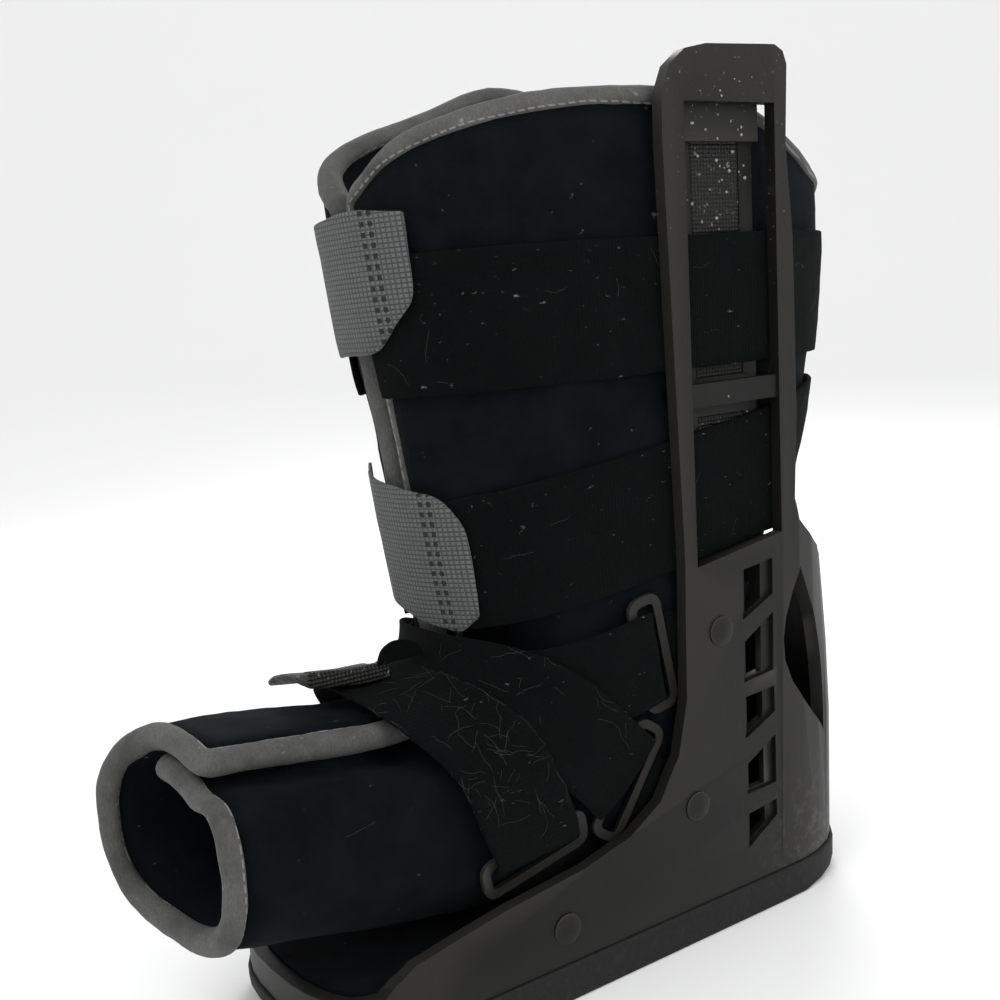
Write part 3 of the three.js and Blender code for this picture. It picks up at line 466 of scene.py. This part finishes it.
def round_calf(p):
    """Along and across a strap that goes round the calf."""
    return (math.atan2(p.x, -p.y) * CALF_RADIUS, p.z, 0.0)


def round_foot(p):
    """Along and across a strap that goes over the instep."""
    return (math.atan2(p.x, p.z - FOOT_AXIS) * FOOT_RADIUS, p.y * 0.8 + p.z * 0.6, 0.0)


def colours():
    """The base colours, as the panel has them."""
    return bpy.context.scene.boot_colours


def sizes():
    """The small sizes, as the panel has them."""
    return bpy.context.scene.boot_sizes


class BootShell(bpy.types.Operator):
    """Makes the moulded shell, its rings and its rivets"""
    bl_idname = "boot.shell"
    bl_label = "Shell, rings and rivets"

    def execute(self, context):
        shades, edge = colours(), sizes().edge
        tones = tuple(shades.plastic), tuple(shades.worn), tuple(shades.dust)
        plastic = moulded_plastic("moulded_plastic", *tones, True)
        small = moulded_plastic("ring_plastic", *tones, False)
        dress(moulded("shell", "boot_shell", edge), "shell_plastic", plastic, "shell")
        for side in SIDES:
            for key in KEYS:
                ring = f"strap_ring_{key}_{side}"
                dress(moulded(ring, f"ring_{key}_{side}", edge * 0.7, 50), "ring_plastic", small, ring)
                rivet = f"rivet_{key}_{side}"
                dress(moulded(rivet, f"stud_{key}_{side}", edge * 0.4, 50), "rivet_plastic", small, rivet)
        return {"FINISHED"}


class BootSole(bpy.types.Operator):
    """Makes the rubber sole and the pad inside the shell"""
    bl_idname = "boot.sole"
    bl_label = "Sole and footbed"

    def execute(self, context):
        shades, edge = colours(), sizes().edge
        rubber = worn_rubber("tread_rubber", tuple(shades.rubber), tuple(shades.worn))
        dress(moulded("outsole", "rubber_sole", edge * 1.6, 25), "sole_rubber", rubber, "outsole")
        cloth = brushed_cloth("pad_cloth", tuple(shades.liner), tuple(shades.lining), tuple(shades.dust))
        pad = ruffle(band("footbed_pad", "foam_pad", 2, 0.6), 0.0002, 0.02, 3)
        dress(pad, "footbed_foam", cloth, "footbed_pad")
        return {"FINISHED"}


class BootLiner(bpy.types.Operator):
    """Makes the padded liner and the tape round its edge"""
    bl_idname = "boot.liner"
    bl_label = "Liner and binding"

    def execute(self, context):
        shades, size = colours(), sizes()
        cloth = brushed_cloth("liner_cloth", tuple(shades.liner), tuple(shades.lining), tuple(shades.dust))
        sewn = binding_tape("binding", tuple(shades.binding), tuple(shades.dust))
        tape = ruffle(band("liner_binding", "binding_tape", 2, 0.0), 0.0004, 0.014, 2, 0.0003)
        liner = ruffle(band("liner", "padded_liner", 2, 1.0), size.pucker, 0.028, 1)
        mark_seam(tape, liner)
        tuck(liner, tape, TUCK_REACH)
        dress(liner, "liner_fabric", cloth, "liner")
        dress(tape, "edge_binding", sewn, "liner_binding")
        return {"FINISHED"}


class BootStraps(bpy.types.Operator):
    """Makes the calf and instep webbing and the tabs behind the rings"""
    bl_idname = "boot.straps"
    bl_label = "Straps"

    def execute(self, context):
        shades, size = colours(), sizes()
        webbing = loop_webbing("loop_webbing", tuple(shades.webbing), tuple(shades.dust))
        runs = {f"calf_strap_{level}": round_calf for level in LEVELS}
        runs.update({f"ankle_strap_{key}": round_foot for key in KEYS})
        runs["instep_strap_end"] = round_foot
        runs.update({f"ring_tab_{key}_{side}": round_foot for key in KEYS for side in SIDES})
        for count, (node, rule) in enumerate(runs.items()):
            strap = band(node, node.replace("strap", "webbing").replace("ring_tab", "keeper"))
            add_weave(strap, rule)
            ruffle(strap, size.ripple, 0.011, count)
            dress(strap, "strap_webbing", webbing, node)
        return {"FINISHED"}


class BootTabs(bpy.types.Operator):
    """Makes the grey hook tabs, the folded instep tab and the hook tape on the uprights"""
    bl_idname = "boot.tabs"
    bl_label = "Tabs and hook tape"

    def execute(self, context):
        shades = colours()
        grey = basket_weave("basket_weave", tuple(shades.tab))
        tape = hook_tape("hook_tape", tuple(shades.hook), tuple(shades.dust))
        for level in LEVELS:
            node = f"calf_tab_{level}"
            tab = band(node, f"grey_tab_{level}", 2, 0.85)
            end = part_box(node)[1].x
            add_weave(tab, lambda p: (p.x, p.z, end - p.x))
            dress(ruffle(tab, 0.0004, 0.02, 4), "grey_tab", grey, node)
        fold = band("instep_tab", "folded_tab", 2, 0.8)
        dress(ruffle(fold, 0.0003, 0.01, 5, 0.0006), "hook_tape", tape, "instep_tab")
        for side in SIDES:
            for level in LEVELS:
                node = f"hook_strip_{level}_{side}"
                dress(moulded(node, f"hooks_{level}_{side}", 0.0002), "hook_tape", tape, node)
        return {"FINISHED"}


class BootLint(bpy.types.Operator):
    """Scatters the hairs on the straps and the crumbs on the uprights"""
    bl_idname = "boot.lint"
    bl_label = "Lint and crumbs"

    def execute(self, context):
        size = sizes()
        chance = random.Random(size.seed)
        pale = plain_dust("pale_dust", tuple(colours().dust))
        fibre = plain_dust("pale_fibre", [c * HAIR["shade"] for c in colours().dust])
        bpy.context.view_layer.update()
        graph = bpy.context.evaluated_depsgraph_get()
        strands = bpy.data.curves.new("hair_lint", "CURVE")
        strands.dimensions = "3D"
        strands.bevel_depth = size.hair
        strands.bevel_resolution = 0
        for name, (share, lowest) in HAIR_PLACES.items():
            made = bpy.data.objects[name]
            tree = BVHTree.FromObject(made, graph)
            vertices = [
                v for v in made.data.vertices
                if v.co.x > -0.01 and v.normal.x > 0.1 and v.co.z > lowest]
            for _ in range(int(size.hairs * share)):
                self.strand(strands, tree, chance.choice(vertices), chance, size.hair)
        loose = bpy.data.objects.new("hair_lint", strands)
        bpy.context.scene.collection.objects.link(loose)
        dress(self.meshed(loose), "strap_webbing", fibre)
        self.crumbs(graph, chance, size.crumbs, pale)
        return {"FINISHED"}

    def meshed(self, loose):
        """The hairs' curves as one mesh."""
        bpy.context.view_layer.update()
        mesh = bpy.data.meshes.new_from_object(loose.evaluated_get(bpy.context.evaluated_depsgraph_get()))
        bpy.data.objects.remove(loose)
        made = bpy.data.objects.new("hair_lint", mesh)
        bpy.context.scene.collection.objects.link(made)
        return made

    def strand(self, strands, tree, start, chance, radius):
        """Adds one hair that wanders over the cloth and arches a little off it."""
        length = chance.uniform(HAIR["short"], HAIR["long"]) * MM
        steps = HAIR["steps"]
        way = start.normal.orthogonal()
        way.rotate(Matrix.Rotation(chance.uniform(0, FULL_TURN), 3, start.normal))
        point = start.co.copy()
        line = strands.splines.new("POLY")
        line.points.add(steps)
        for k in range(steps + 1):
            found, normal, _, _ = tree.find_nearest(point)
            arch = HAIR["arch"] * math.sin(k / steps * math.pi)
            line.points[k].co = (*(found + normal * (radius * HAIR["stand"] + arch)), 1)
            way.rotate(Matrix.Rotation(chance.uniform(-HAIR["bend"], HAIR["bend"]), 3, normal))
            way = (way - normal * way.dot(normal)).normalized()
            point = found + way * (length / steps)

    def crumbs(self, graph, chance, count, pale):
        """Drops crumbs on the near upright, most of them on its upper end."""
        bm = bmesh.new()
        faces = ["boot_shell"] + [f"hooks_{level}_near" for level in LEVELS]
        trees = [BVHTree.FromObject(bpy.data.objects[name], graph) for name in faces]
        inward = Vector((-1, 0, 0))
        for k in range(count):
            aim = Vector((
                CRUMBS["out"], chance.uniform(CRUMBS["front"], CRUMBS["rear"]), chance.uniform(*CRUMBS_HIGH)))
            if k % 3 == 0:
                aim.z = chance.uniform(*CRUMBS_LOW)
            hits = [tree.ray_cast(aim, inward, CRUMBS["reach"]) for tree in trees]
            hits = [hit for hit in hits if hit[0] is not None]
            if not hits:
                continue
            point, normal, _, _ = min(hits, key=lambda hit: hit[3])
            radius = chance.uniform(CRUMBS["small"], CRUMBS["large"]) * MM
            ball = bmesh.ops.create_icosphere(bm, subdivisions=1, radius=radius)
            bmesh.ops.scale(bm, vec=(0.6, chance.uniform(0.7, 1.5), 1), verts=ball["verts"])
            bmesh.ops.translate(bm, vec=point + normal * radius * 0.4, verts=ball["verts"])
        dress(piece(bm, "crumbs"), "strap_webbing", pale)


class BootStage(bpy.types.Operator):
    """Sets the camera, the lights and the pale floor"""
    bl_idname = "boot.stage"
    bl_label = "Stage"

    def execute(self, context):
        scene = bpy.context.scene
        forward, level = self.camera(scene)
        for name, lamp in LAMPS.items():
            self.lamp(name, *lamp)
        world = bpy.data.worlds.new("room")
        world.use_nodes = True
        background = world.node_tree.nodes["Background"]
        background.inputs["Color"].default_value = ROOM_COLOUR
        background.inputs["Strength"].default_value = ROOM_LIGHT
        scene.world = world
        scene.view_settings.view_transform = "Standard"
        floor = piece(self.sweep(Vector((forward.x, forward.y, 0)).normalized(), level), "floor")
        f = Finish("pale_floor")
        shade = f.mix(f.cloud(3.0), (0.92, 0.92, 0.92), (0.94, 0.94, 0.94))
        floor.data.materials.append(f.close(shade, 0.9, f.cloud(40.0), 0.1 * MM))
        return {"FINISHED"}

    def camera(self, scene):
        """Adds the camera and returns the way it looks and the level way to its right."""
        turn, pitch, roll = (math.radians(CAMERA[angle]) for angle in ("turn", "pitch", "roll"))
        flat = math.cos(pitch)
        forward = Vector((-math.cos(turn) * flat, math.sin(turn) * flat, -math.sin(pitch)))
        level = Vector((math.sin(turn), math.cos(turn), 0))
        rise = level.cross(forward)
        right = math.cos(roll) * level - math.sin(roll) * rise
        up = math.sin(roll) * level + math.cos(roll) * rise
        lens = bpy.data.cameras.new("camera")
        lens.lens = CAMERA["lens"]
        lens.sensor_width = CAMERA["sensor"]
        lens.clip_start = CAMERA["nearest"]
        camera = bpy.data.objects.new("camera", lens)
        scene.collection.objects.link(camera)
        facing = Matrix((right, up, -forward)).transposed().to_4x4()
        camera.matrix_world = Matrix.Translation(CAMERA["place"]) @ facing
        scene.camera = camera
        return forward, level

    def sweep(self, away, level):
        """The floor, which bends up into a wall far behind the boot."""
        flat, bend, steps, half = (SWEEP[name] for name in ("flat", "bend", "steps", "half"))
        turns = [k / steps * math.pi / 2 for k in range(steps + 1)]
        curve = [(flat + bend * math.sin(turn), bend - bend * math.cos(turn)) for turn in turns]
        profile = [(SWEEP["front"], 0.0), *curve, (flat + bend, SWEEP["height"])]
        bm = bmesh.new()
        rows = [[bm.verts.new(away * far + level * side + Vector((0, 0, high))) for side in (-half, half)]
                for far, high in profile]
        for (a, b), (c, d) in zip(rows, rows[1:]):
            bm.faces.new((a, b, d, c)).smooth = True
        bmesh.ops.recalc_face_normals(bm, faces=bm.faces)
        return bm

    def lamp(self, name, where, at, size, power):
        light = bpy.data.lights.new(name, "AREA")
        light.shape, light.size, light.energy = "DISK", size, power
        lamp = bpy.data.objects.new(name, light)
        bpy.context.scene.collection.objects.link(lamp)
        aim = Vector(at) - Vector(where)
        lamp.matrix_world = Matrix.Translation(where) @ aim.to_track_quat("-Z", "Y").to_matrix().to_4x4()


OPERATORS = (BootStage, BootShell, BootSole, BootLiner, BootStraps, BootTabs, BootLint)


class BootPanel(bpy.types.Panel):
    bl_idname = "VIEW3D_PT_boot"
    bl_label = "Walking boot"
    bl_space_type = "VIEW_3D"
    bl_region_type = "UI"
    bl_category = "Boot"

    def draw(self, context):
        for group in (context.scene.boot_sizes, context.scene.boot_colours):
            for name in group.bl_rna.properties.keys():
                if name not in ("rna_type", "name"):
                    self.layout.prop(group, name)
        for operator in OPERATORS:
            self.layout.operator(operator.bl_idname)


CLASSES = (BootColours, BootSizes, *OPERATORS, BootPanel)


def register():
    for made in CLASSES:
        bpy.utils.register_class(made)
    bpy.types.Scene.boot_colours = bpy.props.PointerProperty(type=BootColours)
    bpy.types.Scene.boot_sizes = bpy.props.PointerProperty(type=BootSizes)


def unregister():
    del bpy.types.Scene.boot_sizes
    del bpy.types.Scene.boot_colours
    for made in reversed(CLASSES):
        bpy.utils.unregister_class(made)


def main():
    register()
    for operator in OPERATORS:
        group, name = operator.bl_idname.split(".")
        getattr(getattr(bpy.ops, group), name)()


if __name__ == "__main__":
    main()
